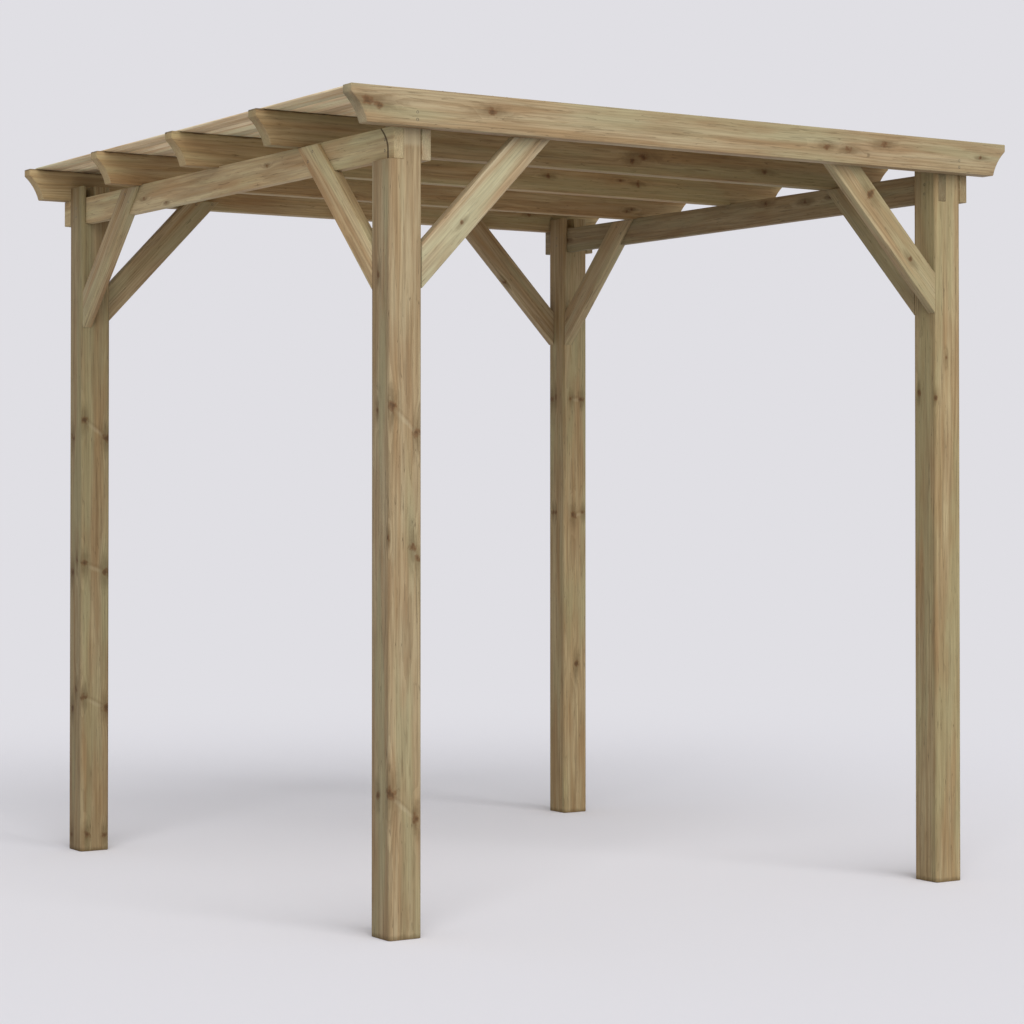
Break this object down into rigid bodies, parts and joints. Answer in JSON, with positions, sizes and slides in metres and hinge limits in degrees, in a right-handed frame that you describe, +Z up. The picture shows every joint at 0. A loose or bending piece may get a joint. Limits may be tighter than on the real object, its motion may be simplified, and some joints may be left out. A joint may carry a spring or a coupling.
{
  "type": "wooden pergola",
  "caption": "Free-standing square timber pergola: corner posts with knee braces carry housed rails, cove-ended rafters and a slatted top over a walk-through space.",
  "frame": {"origin": "on the ground, midway between the four posts", "axes": "+X along the rafters, +Y along the rails away from the pictured front, +Z up"},
  "size_m": [2.302, 2.231, 2.261],
  "materials": {
    "post": "planed softwood, pressure treated, unpainted",
    "rail": "planed softwood, pressure treated, unpainted",
    "rafter": "planed softwood, pressure treated, unpainted",
    "brace": "planed softwood, pressure treated, unpainted",
    "slat": "planed softwood, pressure treated, unpainted"
  },
  "bodies": {
    "root": {"post_front_left": "post", "post_front_right": "post", "post_back_left": "post", "post_back_right": "post", "rail_left": "rail", "rail_right": "rail", "cleat_front_left": "rail", "cleat_front_right": "rail", "cleat_back_left": "rail", "cleat_back_right": "rail", "rafter_1": "rafter", "rafter_2": "rafter", "rafter_3": "rafter", "rafter_4": "rafter", "rafter_5": "rafter", "rail_brace_front_left": "brace", "rail_brace_front_right": "brace", "rail_brace_back_left": "brace", "rail_brace_back_right": "brace", "rafter_brace_front_left": "brace", "rafter_brace_front_right": "brace", "rafter_brace_back_left": "brace", "rafter_brace_back_right": "brace", "slat_mat_1": "slat", "slat_mat_2": "slat", "slat_mat_3": "slat", "slat_mat_4": "slat", "slat_mat_5": "slat"}
  },
  "joints": []
}
